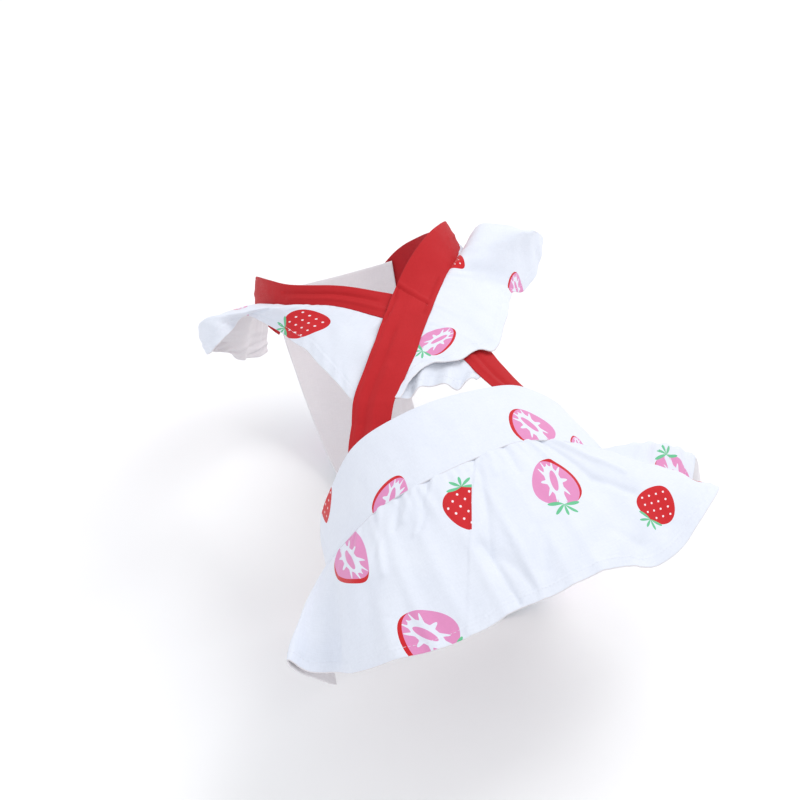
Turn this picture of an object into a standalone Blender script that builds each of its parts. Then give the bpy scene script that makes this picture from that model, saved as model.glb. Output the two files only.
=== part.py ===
"""Pet dress with crossed shoulder straps, two sleeve ruffles, a waistband and a gathered skirt.

Frame: metres, +X to the wearer's right, +Y to the head end, +Z up.  The origin is on the back,
under the place where the two straps cross.

Every piece lies on a guide form, a loft of rounded sections (SECTIONS).  A place on it is a
station (distance along the back), an angle (0 on the back, 90 at the wearer's right side,
180 under the belly) and a lift (distance out from the form).  The tables give each piece's
edges in those three, with lengths as shares of BACK_LENGTH, HALF_WIDTH and HALF_DEPTH.
"""
import bpy
import bmesh
import numpy as np

for old in list(bpy.data.objects):
    bpy.data.objects.remove(old, do_unlink=True)

# Driving sizes
BACK_LENGTH = 0.300
HALF_WIDTH = 0.092
HALF_DEPTH = 0.080
STRAP_WIDTH = 0.025
STRAP_THICK = 0.0015
BAND_THICK = 0.0016
RUFFLE_THICK = 0.0012
SKIRT_THICK = 0.0012
PANEL_THICK = 0.0015
SEAM_GAP = 0.0008
ROUNDNESS = 2.25

# Lifts of the layers, from the form outwards
UNDER_LIFT = 0.0008
OVER_LIFT = UNDER_LIFT + STRAP_THICK + 0.0008
BAND_LIFT = UNDER_LIFT + STRAP_THICK + 0.0009

# station / BACK_LENGTH, centre height / HALF_DEPTH, tilt in degrees,
# half width / HALF_WIDTH, half height / HALF_DEPTH
SECTIONS = np.array((
    (-0.800, -1.225, 0.0, 0.804, 0.775),
    (-0.583, -1.150, 0.0, 0.940, 0.950),
    (-0.393, -1.125, 3.0, 0.955, 1.000),
    (-0.220, -1.088, 6.0, 0.862, 0.963),
    (-0.033, -1.075, 12.0, 0.960, 1.050),
    (0.117, -0.975, 26.0, 0.990, 1.075),
    (0.240, -0.650, 40.0, 0.770, 0.950),
    (0.327, -0.250, 48.0, 0.640, 0.825),
))

# Centre line of the strap over the right shoulder: station / BACK_LENGTH, angle,
# width / STRAP_WIDTH
RIGHT_STRAP = (
    (-0.253, -47.0, 1.00), (-0.219, -42.6, 1.00), (-0.170, -34.6, 1.00), (-0.124, -27.8, 1.00),
    (-0.080, -20.4, 1.00), (-0.013, -11.9, 1.00), (0.050, -6.6, 1.00), (0.100, -2.4, 1.00),
    (0.155, 2.3, 1.00), (0.208, 8.9, 1.00), (0.243, 15.7, 1.00), (0.267, 23.4, 1.00),
    (0.283, 31.8, 0.98), (0.293, 41.0, 0.92), (0.298, 51.0, 0.90), (0.300, 63.0, 0.90),
    (0.299, 79.0, 0.90), (0.298, 97.0, 0.90), (0.297, 116.0, 0.95), (0.290, 135.0, 1.00),
    (0.268, 152.0, 1.00),
)

# Centre line of the strap over the left shoulder, which narrows where it is creased
LEFT_STRAP = (
    (-0.253, 34.6, 0.80), (-0.232, 32.1, 0.80), (-0.179, 25.8, 0.80), (-0.134, 21.8, 0.80),
    (-0.102, 19.9, 0.80), (-0.030, 14.9, 0.84), (0.025, 11.3, 0.88), (0.076, 7.4, 0.90),
    (0.115, 3.3, 0.88), (0.147, -1.0, 0.84), (0.184, -7.7, 0.74), (0.222, -17.1, 0.60),
    (0.247, -27.2, 0.52), (0.263, -39.5, 0.50), (0.276, -53.5, 0.52), (0.289, -69.1, 0.58),
    (0.296, -85.0, 0.68), (0.299, -102.0, 0.80), (0.298, -120.0, 0.92), (0.290, -136.0, 1.00),
    (0.268, -152.0, 1.00),
)

# Waistband: angle, front edge / BACK_LENGTH, rear edge / BACK_LENGTH
WAISTBAND = (
    (-180.0, -0.250, -0.365), (-140.0, -0.243, -0.360), (-110.0, -0.232, -0.350),
    (-84.0, -0.227, -0.342), (-62.0, -0.224, -0.379), (-48.0, -0.203, -0.386),
    (-25.0, -0.202, -0.396), (-5.0, -0.201, -0.390), (14.0, -0.202, -0.378),
    (29.0, -0.200, -0.385), (42.0, -0.214, -0.390), (58.0, -0.222, -0.384),
    (90.0, -0.228, -0.358), (120.0, -0.236, -0.352), (150.0, -0.247, -0.362),
    (180.0, -0.250, -0.365),
)

# Skirt hem: seam angle, hem station / BACK_LENGTH, hem angle, hem lift / BACK_LENGTH,
# swell between seam and hem
SKIRT_HEM = (
    (-96.0, -0.540, -100.0, 0.080, 0.2), (-91.0, -0.545, -95.0, 0.105, 0.1),
    (-86.0, -0.548, -87.0, 0.150, 0.1), (-81.0, -0.539, -82.2, 0.172, 0.1),
    (-77.0, -0.555, -85.5, 0.138, 0.2), (-72.0, -0.577, -85.0, 0.098, 0.3),
    (-64.0, -0.637, -74.0, 0.092, 0.4), (-54.0, -0.680, -62.3, 0.080, 0.4),
    (-45.0, -0.709, -52.7, 0.046, 0.4), (-34.0, -0.723, -37.9, 0.022, 0.4),
    (-20.0, -0.717, -20.4, 0.010, 0.4), (-8.0, -0.717, -6.4, 0.010, 0.4),
    (4.0, -0.704, 13.1, 0.010, 0.4), (14.0, -0.690, 31.7, 0.012, 0.4),
    (22.0, -0.679, 51.3, 0.020, 0.3), (27.0, -0.643, 59.5, 0.060, 0.2),
    (31.0, -0.609, 61.8, 0.097, 0.1), (35.0, -0.577, 64.2, 0.130, 0.0),
    (39.0, -0.538, 67.6, 0.158, 0.0), (46.0, -0.500, 73.0, 0.110, 0.1),
    (53.0, -0.410, 76.5, 0.170, 0.3), (60.0, -0.448, 82.0, 0.152, 0.3),
    (67.0, -0.472, 86.5, 0.125, 0.3), (74.0, -0.485, 90.5, 0.105, 0.3),
    (81.0, -0.490, 95.0, 0.092, 0.3),
)

# Skirt folds: seam angle, half width in degrees, height at the hem / BACK_LENGTH
SKIRT_FOLDS = (
    (-66.0, 2.2, 0.014), (-54.0, 2.2, 0.010), (-45.0, 2.0, 0.020), (-36.0, 2.0, 0.010),
    (-24.0, 2.2, 0.014), (-9.0, 1.8, 0.018), (1.0, 1.8, 0.010), (9.0, 1.7, 0.014),
    (17.0, 1.5, 0.012), (24.0, 1.5, 0.010),
)

# Hem of the left sleeve ruffle: share of the strap's length, station / BACK_LENGTH, angle,
# lift / BACK_LENGTH, puff half way out / BACK_LENGTH
LEFT_RUFFLE = (
    (0.112, -0.164, 14.0, 0.004, 0.0), (0.145, -0.166, 9.0, 0.004, 0.0),
    (0.175, -0.176, 2.5, 0.004, 0.0), (0.208, -0.146, -4.5, 0.004, 0.0),
    (0.240, -0.149, -11.0, 0.004, 0.0), (0.270, -0.156, -17.0, 0.004, 0.0),
    (0.300, -0.143, -24.0, 0.004, 0.0), (0.327, -0.124, -30.5, 0.004, 0.0),
    (0.350, -0.103, -35.6, 0.005, 0.0), (0.371, -0.060, -36.8, 0.006, 0.0),
    (0.391, 0.000, -38.0, 0.007, 0.0), (0.411, 0.062, -39.2, 0.008, 0.0),
    (0.432, 0.121, -41.2, 0.010, 0.002), (0.457, 0.168, -47.0, 0.014, 0.006),
    (0.486, 0.203, -53.0, 0.018, 0.008), (0.514, 0.214, -59.0, 0.022, 0.010),
    (0.542, 0.218, -65.0, 0.032, 0.014), (0.570, 0.221, -71.0, 0.058, 0.018),
    (0.598, 0.221, -77.5, 0.100, 0.022), (0.624, 0.216, -84.0, 0.128, 0.024),
    (0.650, 0.206, -90.0, 0.116, 0.022), (0.676, 0.203, -95.0, 0.080, 0.014),
    (0.706, 0.208, -100.0, 0.050, 0.008), (0.742, 0.214, -105.0, 0.044, 0.004),
    (0.788, 0.216, -111.0, 0.030, 0.004), (0.842, 0.222, -119.5, 0.032, 0.002),
    (0.900, 0.226, -129.0, 0.016, 0.0), (0.940, 0.232, -134.5, 0.012, 0.0),
)

# Hem of the right sleeve ruffle
RIGHT_RUFFLE = (
    (0.140, -0.160, -20.0, 0.012, 0.0), (0.185, -0.122, -11.5, 0.014, 0.0),
    (0.230, -0.100, -1.5, 0.014, 0.0), (0.275, -0.112, 9.0, 0.016, 0.0),
    (0.320, -0.086, 19.0, 0.016, 0.0), (0.358, -0.090, 26.6, 0.017, 0.0),
    (0.385, -0.042, 32.4, 0.018, 0.0), (0.410, 0.030, 38.0, 0.020, 0.0),
    (0.434, 0.104, 44.5, 0.020, 0.002), (0.456, 0.143, 52.5, 0.026, 0.006),
    (0.476, 0.142, 60.0, 0.042, 0.012), (0.496, 0.150, 64.0, 0.072, 0.020),
    (0.518, 0.162, 67.6, 0.106, 0.030), (0.544, 0.187, 69.5, 0.150, 0.044),
    (0.570, 0.214, 71.5, 0.168, 0.058), (0.600, 0.232, 77.0, 0.140, 0.060),
    (0.636, 0.224, 84.5, 0.098, 0.040), (0.684, 0.218, 92.5, 0.062, 0.020),
    (0.736, 0.218, 100.0, 0.050, 0.008), (0.790, 0.220, 109.0, 0.032, 0.004),
    (0.850, 0.226, 119.5, 0.034, 0.002), (0.908, 0.230, 130.0, 0.016, 0.0),
    (0.940, 0.234, 134.5, 0.012, 0.0),
)

# Chest panel: station / BACK_LENGTH, half width in degrees round the belly
CHEST_PANEL = (
    (-0.290, 34.0), (-0.200, 34.0), (-0.100, 27.0), (0.000, 22.0),
    (0.100, 22.0), (0.200, 27.0), (0.260, 33.0), (0.300, 36.0),
)


def smooth(x, xs, ys):
    """Smooth curve through the points (xs, ys), straight beyond the ends."""
    xs = np.asarray(xs, float)
    ys = np.asarray(ys, float)
    x = np.asarray(x, float)
    h = np.diff(xs)
    rise = np.diff(ys) / h
    t = np.empty_like(ys)
    t[1:-1] = (rise[:-1] * h[1:] + rise[1:] * h[:-1]) / (h[1:] + h[:-1])
    t[0] = rise[0]
    t[-1] = rise[-1]
    i = np.clip(np.searchsorted(xs, x) - 1, 0, len(h) - 1)
    u = np.clip((x - xs[i]) / h[i], -0.5, 1.5)
    a = (2 * u ** 3 - 3 * u ** 2 + 1) * ys[i] + (u ** 3 - 2 * u ** 2 + u) * h[i] * t[i]
    b = (-2 * u ** 3 + 3 * u ** 2) * ys[i + 1] + (u ** 3 - u ** 2) * h[i] * t[i + 1]
    return a + b


def form(s, angle):
    """Point of the guide form at station s (metres) and angle (degrees)."""
    share = s / BACK_LENGTH
    centre = smooth(share, SECTIONS[:, 0], SECTIONS[:, 1]) * HALF_DEPTH
    tilt = np.radians(smooth(share, SECTIONS[:, 0], SECTIONS[:, 2]))
    a = smooth(share, SECTIONS[:, 0], SECTIONS[:, 3]) * HALF_WIDTH
    b = smooth(share, SECTIONS[:, 0], SECTIONS[:, 4]) * HALF_DEPTH
    sn = np.sin(np.radians(angle))
    cs = np.cos(np.radians(angle))
    r = (np.abs(sn / a) ** ROUNDNESS + np.abs(cs / b) ** ROUNDNESS) ** (-1.0 / ROUNDNESS)
    up = r * cs
    return np.stack([r * sn, s - np.sin(tilt) * up, centre + np.cos(tilt) * up], -1)


def tangents(s, angle):
    """Directions along the station and along the angle, and the outward normal."""
    along = (form(s + 0.0005, angle) - form(s - 0.0005, angle)) / 0.001
    around = (form(s, angle + 0.5) - form(s, angle - 0.5))
    normal = np.cross(around, along)
    normal /= np.linalg.norm(normal, axis=-1, keepdims=True)
    return along, around, normal


def place(s, angle, lift):
    """Point of the form moved outwards by the lift."""
    return form(s, angle) + np.asarray(lift)[..., None] * tangents(s, angle)[2]


def resample(rows, n):
    """n evenly spaced places along a table's centre line: station, angle, share, half width."""
    rows = np.asarray(rows, float)
    fine = np.linspace(0, len(rows) - 1, 400)
    index = np.arange(len(rows))
    s = smooth(fine, index, rows[:, 0]) * BACK_LENGTH
    ang = smooth(fine, index, rows[:, 1])
    p = form(s, ang)
    run = np.concatenate([[0.0], np.cumsum(np.linalg.norm(np.diff(p, axis=0), axis=1))])
    at = np.linspace(0, run[-1], n)
    half = smooth(fine, index, rows[:, 2]) * STRAP_WIDTH / 2
    return np.interp(at, run, s), np.interp(at, run, ang), at / run[-1], np.interp(at, run, half)


def sideways(s, ang, width):
    """Move places of a centre line by width (metres) to its side, on the form."""
    along, around, normal = tangents(s, ang)
    p = form(s, ang)
    run = np.gradient(p, axis=0)
    run /= np.linalg.norm(run, axis=-1, keepdims=True)
    side = np.cross(normal, run)
    aa = (along * along).sum(-1)
    ab = (along * around).sum(-1)
    bb = (around * around).sum(-1)
    ea = (along * side).sum(-1)
    eb = (around * side).sum(-1)
    det = aa * bb - ab * ab
    return s + width * (bb * ea - ab * eb) / det, ang + width * (aa * eb - ab * ea) / det


def grid_normals(p, ring):
    """Normals of a grid of points, evened out; ring closes the first direction."""
    if ring:
        du = np.roll(p, -1, axis=0) - np.roll(p, 1, axis=0)
    else:
        du = np.gradient(p, axis=0)
    dv = np.gradient(p, axis=1)
    n = np.cross(du, dv)
    n = n / np.linalg.norm(n, axis=-1, keepdims=True)
    for _ in range(2):
        wide = n.copy()
        if ring:
            wide += 0.5 * (np.roll(n, -1, axis=0) + np.roll(n, 1, axis=0))
        else:
            wide[1:-1] += 0.5 * (n[2:] + n[:-2])
        n = wide
        n[:, 1:-1] = wide[:, 1:-1] + 0.5 * (wide[:, 2:] + wide[:, :-2])
        n = n / np.linalg.norm(n, axis=-1, keepdims=True)
    return n


def shell(name, inner, thick, colour, rough, ring=False, seam_normal=None):
    """Closed solid of cloth between a grid of points and the same grid moved out by thick."""
    normal = grid_normals(inner, ring)
    mid = form(np.clip(inner[..., 1], -0.24, 0.1), 0.0 * inner[..., 0])
    away = inner - mid * np.array([0.0, 1.0, 0.0]) - np.array([0.0, 0.0, -0.085])
    if (normal * away).sum() < 0:
        normal = -normal
        turned = True
    else:
        turned = False
    if seam_normal is not None:
        normal[:, 0] = seam_normal
    outer = inner + thick * normal
    nu, nv = inner.shape[:2]
    verts = np.concatenate([outer.reshape(-1, 3), inner.reshape(-1, 3)])
    faces = []
    half = nu * nv
    last = nu if ring else nu - 1
    for i in range(last):
        k = (i + 1) % nu
        for j in range(nv - 1):
            a, b, c, d = i * nv + j, k * nv + j, k * nv + j + 1, i * nv + j + 1
            if (i + j) % 2:
                tris = ((a, b, c), (a, c, d))
            else:
                tris = ((a, b, d), (b, c, d))
            for t in tris:
                faces.append(t)
                faces.append(tuple(half + q for q in reversed(t)))
    edges = []
    for i in range(last):
        k = (i + 1) % nu
        edges.append((k * nv, i * nv))
        edges.append((i * nv + nv - 1, k * nv + nv - 1))
    if not ring:
        for j in range(nv - 1):
            edges.append((j, j + 1))
            edges.append(((nu - 1) * nv + j + 1, (nu - 1) * nv + j))
    for a, b in edges:
        faces.append((b, a, half + a))
        faces.append((b, half + a, half + b))
    if turned:
        faces = [tuple(reversed(f)) for f in faces]
    mesh = bpy.data.meshes.new(name)
    mesh.from_pydata([tuple(v) for v in verts.tolist()], [], faces)
    mesh.validate()
    bm = bmesh.new()
    bm.from_mesh(mesh)
    bmesh.ops.recalc_face_normals(bm, faces=bm.faces)
    if bm.calc_volume(signed=True) < 0:
        bmesh.ops.reverse_faces(bm, faces=bm.faces)
    bm.to_mesh(mesh)
    bm.free()
    obj = bpy.data.objects.new(name, mesh)
    bpy.context.scene.collection.objects.link(obj)
    mat = bpy.data.materials.new(name + "_cloth")
    mat.use_nodes = True
    shader = mat.node_tree.nodes["Principled BSDF"]
    shader.inputs["Base Color"].default_value = (*colour, 1.0)
    shader.inputs["Roughness"].default_value = rough
    mesh.materials.append(mat)
    return obj


def table(rows, column, at, key=0):
    """Column of a table at the places at, measured along the key column."""
    rows = np.asarray(rows, float)
    return smooth(at, rows[:, key], rows[:, column])


def strap(name, rows, lift_rows):
    """Flat strap along a centre line; lift_rows gives its lift along its length."""
    s, ang, share, half = resample(rows, 49)
    lift = np.interp(share, *np.transpose(lift_rows))
    grid = np.stack([place(*sideways(s, ang, w * half), lift) for w in (-1.0, -0.34, 0.34, 1.0)], 1)
    return shell(name, grid, STRAP_THICK, (0.55, 0.02, 0.03), 0.75)


def ruffle(name, rows, strap_rows, side, start_lift, waves):
    """Ruffle from a strap's edge out to its own hem."""
    rows = np.asarray(rows, float)
    s0, a0, share, half = resample(strap_rows, 400)
    edge_s, edge_a = sideways(s0, a0, side * (half + 1.5 * SEAM_GAP))
    t = np.linspace(rows[0, 0], rows[-1, 0], 53)
    s_in = np.interp(t, share, edge_s)
    a_in = np.interp(t, share, edge_a)
    s_out = table(rows, 1, t) * BACK_LENGTH
    a_out = table(rows, 2, t)
    l_out = table(rows, 3, t) * BACK_LENGTH
    puff = table(rows, 4, t) * BACK_LENGTH
    v = np.linspace(0.0, 1.0, 7)[None, :]
    s = s_in[:, None] * (1 - v) + s_out[:, None] * v
    a = a_in[:, None] * (1 - v) + a_out[:, None] * v
    lift = start_lift * (1 - v) + np.maximum(l_out, start_lift)[:, None] * v
    lift = lift + np.maximum(puff, 0.0)[:, None] * 2.9 * v ** 0.6 * (1 - v)
    size = np.clip((t - 0.42) / 0.1, 0.0, 1.0) * np.clip((0.93 - t) / 0.05, 0.0, 1.0)
    lift = lift + 0.0012 * (1 - np.cos(2 * np.pi * waves * t))[:, None] * size[:, None] * v
    return shell(name, place(s, a, lift), RUFFLE_THICK, (0.83, 0.84, 0.86), 0.8,
                 seam_normal=tangents(s_in, a_in)[2])


# The two straps: the left one lies under the right one where they cross
strap("left_shoulder_strap", LEFT_STRAP,
      ((0.0, UNDER_LIFT), (0.80, UNDER_LIFT), (0.92, OVER_LIFT), (1.0, OVER_LIFT)))
strap("right_shoulder_strap", RIGHT_STRAP,
      ((0.0, UNDER_LIFT), (0.085, UNDER_LIFT), (0.125, OVER_LIFT + 0.0002), (0.5, OVER_LIFT + 0.0002),
       (0.65, UNDER_LIFT), (0.80, UNDER_LIFT), (0.92, OVER_LIFT), (1.0, OVER_LIFT)))

# The two sleeve ruffles
ruffle("left_sleeve_ruffle", LEFT_RUFFLE, LEFT_STRAP, 1.0, UNDER_LIFT, 22)
ruffle("right_sleeve_ruffle", RIGHT_RUFFLE, RIGHT_STRAP, -1.0, OVER_LIFT + 0.0002, 22)

# Waistband, a closed ring
turn = np.linspace(-180.0, 180.0, 97)[:-1]
front = table(WAISTBAND, 1, turn) * BACK_LENGTH
rear = table(WAISTBAND, 2, turn) * BACK_LENGTH
across = np.linspace(0.0, 1.0, 5)[None, :]
band_s = front[:, None] * (1 - across) + rear[:, None] * across
band_a = turn[:, None] + 0.0 * across
band_lift = BAND_LIFT + 0.0006 * np.sin(np.pi * across) + 0.0 * band_s
shell("waistband", place(band_s, band_a, band_lift), BAND_THICK, (0.83, 0.84, 0.86), 0.8, ring=True)

# Skirt, gathered on the waistband's rear edge
hem = np.asarray(SKIRT_HEM, float)
seam = np.linspace(hem[0, 0], hem[-1, 0], 101)
seam_s = (table(WAISTBAND, 2, seam) * BACK_LENGTH) - SEAM_GAP
hem_s = table(SKIRT_HEM, 1, seam) * BACK_LENGTH
hem_a = table(SKIRT_HEM, 2, seam)
hem_lift = table(SKIRT_HEM, 3, seam) * BACK_LENGTH
down = np.linspace(0.0, 1.0, 10)[None, :]
skirt_s = seam_s[:, None] * (1 - down) + hem_s[:, None] * down
skirt_a = seam[:, None] * (1 - down) + hem_a[:, None] * down
swell = down * (1 + table(SKIRT_HEM, 4, seam)[:, None] * (1 - down))
skirt_lift = BAND_LIFT * (1 - down) + hem_lift[:, None] * swell
for at, wide, high in SKIRT_FOLDS:
    bump = np.exp(-((seam - at) / wide) ** 2)[:, None]
    skirt_lift = skirt_lift + bump * high * BACK_LENGTH * down ** 0.8
shell("skirt", place(skirt_s, skirt_a, skirt_lift), SKIRT_THICK, (0.83, 0.84, 0.86), 0.8,
      seam_normal=tangents(seam_s, seam)[2])

# Chest panel, from the waistband's belly part to the straps' front ends
panel = np.asarray(CHEST_PANEL, float)
rows_s = np.linspace(panel[0, 0], panel[-1, 0], 23)
half = table(CHEST_PANEL, 1, rows_s)
cols = np.linspace(-1.0, 1.0, 13)[None, :]
panel_s = (rows_s * BACK_LENGTH)[:, None] + 0.0 * cols
panel_a = 180.0 + half[:, None] * cols
panel_lift = UNDER_LIFT + 0.0 * panel_s
shell("chest_panel", place(panel_s, panel_a, panel_lift), PANEL_THICK, (0.83, 0.84, 0.86), 0.8)
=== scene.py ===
"""Looks of a pet dress: crossed red straps, ruffled sleeves, waistband, gathered skirt, chest panel.

Frame: metres, +X to the wearer's right, +Y to the head end, +Z up, origin on the back under the
crossing of the straps.  Every cloth is a grid of points on or above a guide form, a loft of
rounded sections.  A place on the form is a station (distance along the back), an angle (0 on the
back, 90 at the right side, 180 under the belly) and a lift (distance out from the form).
"""
import bpy
import numpy as np
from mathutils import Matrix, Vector


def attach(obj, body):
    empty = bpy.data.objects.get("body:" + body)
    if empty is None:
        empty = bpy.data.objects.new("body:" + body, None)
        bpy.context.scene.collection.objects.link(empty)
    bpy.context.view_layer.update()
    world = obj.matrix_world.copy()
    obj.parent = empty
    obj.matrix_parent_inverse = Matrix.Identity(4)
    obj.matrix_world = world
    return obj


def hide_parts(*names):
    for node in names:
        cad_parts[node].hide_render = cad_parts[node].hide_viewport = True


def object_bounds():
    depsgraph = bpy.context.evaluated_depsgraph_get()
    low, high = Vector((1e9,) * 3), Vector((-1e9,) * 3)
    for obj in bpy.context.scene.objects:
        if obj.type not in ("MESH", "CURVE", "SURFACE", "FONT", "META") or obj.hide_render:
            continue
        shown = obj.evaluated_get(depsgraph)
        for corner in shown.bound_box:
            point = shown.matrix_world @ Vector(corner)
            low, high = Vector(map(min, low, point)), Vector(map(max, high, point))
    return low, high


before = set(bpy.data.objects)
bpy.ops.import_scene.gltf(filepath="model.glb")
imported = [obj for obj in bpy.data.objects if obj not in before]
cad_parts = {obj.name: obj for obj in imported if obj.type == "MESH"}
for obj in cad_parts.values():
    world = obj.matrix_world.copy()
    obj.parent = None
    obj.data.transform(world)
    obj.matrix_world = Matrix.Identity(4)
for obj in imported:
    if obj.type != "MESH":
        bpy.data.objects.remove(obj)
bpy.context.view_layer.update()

# Sizes of the dress, in metres
BACK_LENGTH = 0.300
HALF_WIDTH = 0.092
HALF_DEPTH = 0.080
STRAP_WIDTH = 0.025
STRAP_THICK = 0.0015
BAND_THICK = 0.0016
COTTON = 0.0005
HEM_DEPTH = 0.0065
ROUNDNESS = 2.25
UNDER_LIFT = 0.0008
OVER_LIFT = UNDER_LIFT + STRAP_THICK + 0.0008
BAND_LIFT = UNDER_LIFT + STRAP_THICK + 0.0009

# station / BACK_LENGTH, centre height / HALF_DEPTH, tilt in degrees,
# half width / HALF_WIDTH, half height / HALF_DEPTH
SECTIONS = np.array((
    (-0.800, -1.225, 0.0, 0.804, 0.775),
    (-0.583, -1.150, 0.0, 0.940, 0.950),
    (-0.393, -1.125, 3.0, 0.955, 1.000),
    (-0.220, -1.088, 6.0, 0.862, 0.963),
    (-0.033, -1.075, 12.0, 0.960, 1.050),
    (0.117, -0.975, 26.0, 0.990, 1.075),
    (0.240, -0.650, 40.0, 0.770, 0.950),
    (0.327, -0.250, 48.0, 0.640, 0.825),
))

# Centre line of the strap over the right shoulder: station / BACK_LENGTH, angle,
# width / STRAP_WIDTH
RIGHT_STRAP = (
    (-0.253, -47.0, 1.00), (-0.219, -42.6, 1.00), (-0.170, -34.6, 1.00), (-0.124, -27.8, 1.00),
    (-0.080, -20.4, 1.00), (-0.013, -11.9, 1.00), (0.050, -6.6, 1.00), (0.100, -2.4, 1.00),
    (0.155, 2.3, 1.00), (0.208, 8.9, 1.00), (0.243, 15.7, 1.00), (0.267, 23.4, 1.00),
    (0.283, 31.8, 0.98), (0.293, 41.0, 0.92), (0.298, 51.0, 0.90), (0.300, 63.0, 0.90),
    (0.299, 79.0, 0.90), (0.298, 97.0, 0.90), (0.297, 116.0, 0.95), (0.290, 135.0, 1.00),
    (0.268, 152.0, 1.00),
)

# Centre line of the strap over the left shoulder, which narrows where it is creased
LEFT_STRAP = (
    (-0.253, 34.6, 0.80), (-0.232, 32.1, 0.80), (-0.179, 25.8, 0.80), (-0.134, 21.8, 0.80),
    (-0.102, 19.9, 0.80), (-0.030, 14.9, 0.84), (0.025, 11.3, 0.88), (0.076, 7.4, 0.90),
    (0.115, 3.3, 0.88), (0.147, -1.0, 0.84), (0.184, -7.7, 0.74), (0.222, -17.1, 0.60),
    (0.247, -27.2, 0.52), (0.263, -39.5, 0.50), (0.276, -53.5, 0.52), (0.289, -69.1, 0.58),
    (0.296, -85.0, 0.68), (0.299, -102.0, 0.80), (0.298, -120.0, 0.92), (0.290, -136.0, 1.00),
    (0.268, -152.0, 1.00),
)

# Lift of each strap along its length: share of the length, lift
RIGHT_STRAP_LIFT = (
    (0.0, UNDER_LIFT), (0.085, UNDER_LIFT), (0.125, OVER_LIFT + 0.0002),
    (0.5, OVER_LIFT + 0.0002), (0.65, UNDER_LIFT), (0.80, UNDER_LIFT), (0.92, OVER_LIFT),
    (1.0, OVER_LIFT),
)
LEFT_STRAP_LIFT = ((0.0, UNDER_LIFT), (0.80, UNDER_LIFT), (0.92, OVER_LIFT), (1.0, OVER_LIFT))

# Waistband: angle, front edge / BACK_LENGTH, rear edge / BACK_LENGTH
WAISTBAND = (
    (-180.0, -0.250, -0.365), (-140.0, -0.243, -0.360), (-110.0, -0.232, -0.350),
    (-84.0, -0.227, -0.342), (-62.0, -0.224, -0.379), (-48.0, -0.203, -0.386),
    (-25.0, -0.202, -0.396), (-5.0, -0.201, -0.390), (14.0, -0.202, -0.378),
    (29.0, -0.200, -0.385), (42.0, -0.214, -0.390), (58.0, -0.222, -0.384),
    (90.0, -0.228, -0.358), (120.0, -0.236, -0.352), (150.0, -0.247, -0.362),
    (180.0, -0.250, -0.365),
)

# Skirt hem: seam angle, hem station / BACK_LENGTH, hem angle, hem lift / BACK_LENGTH,
# swell between seam and hem
SKIRT_HEM = (
    (-96.0, -0.540, -100.0, 0.080, 0.2), (-91.0, -0.545, -95.0, 0.105, 0.1),
    (-86.0, -0.548, -87.0, 0.150, 0.1), (-81.0, -0.539, -82.2, 0.172, 0.1),
    (-77.0, -0.555, -85.5, 0.138, 0.2), (-72.0, -0.577, -85.0, 0.098, 0.3),
    (-64.0, -0.637, -74.0, 0.092, 0.4), (-54.0, -0.680, -62.3, 0.080, 0.4),
    (-45.0, -0.709, -52.7, 0.046, 0.4), (-34.0, -0.723, -37.9, 0.022, 0.4),
    (-20.0, -0.717, -20.4, 0.010, 0.4), (-8.0, -0.717, -6.4, 0.010, 0.4),
    (4.0, -0.704, 13.1, 0.010, 0.4), (14.0, -0.690, 31.7, 0.012, 0.4),
    (22.0, -0.679, 51.3, 0.020, 0.3), (27.0, -0.643, 59.5, 0.060, 0.2),
    (31.0, -0.609, 61.8, 0.097, -0.1), (35.0, -0.577, 64.2, 0.130, -0.4),
    (39.0, -0.538, 67.6, 0.158, -0.5), (46.0, -0.500, 73.0, 0.110, -0.2),
    (53.0, -0.410, 76.5, 0.170, 0.3), (60.0, -0.448, 82.0, 0.152, 0.3),
    (67.0, -0.472, 86.5, 0.125, 0.3), (74.0, -0.485, 90.5, 0.105, 0.3),
    (81.0, -0.490, 95.0, 0.092, 0.3),
)

# Main folds of the skirt: seam angle, half width in degrees, height at the hem / BACK_LENGTH
SKIRT_FOLDS = (
    (-66.0, 2.2, 0.014), (-54.0, 2.2, 0.010), (-45.0, 2.0, 0.020), (-36.0, 2.0, 0.010),
    (-24.0, 2.2, 0.014), (-9.0, 1.8, 0.018), (1.0, 1.8, 0.010), (9.0, 1.7, 0.014),
    (17.0, 1.5, 0.012), (24.0, 1.5, 0.010),
)

# The pressed cloth keeps this share of the main folds' height
FOLD_SHARE = 0.4
CREASE_DEPTH = 1.45

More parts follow.
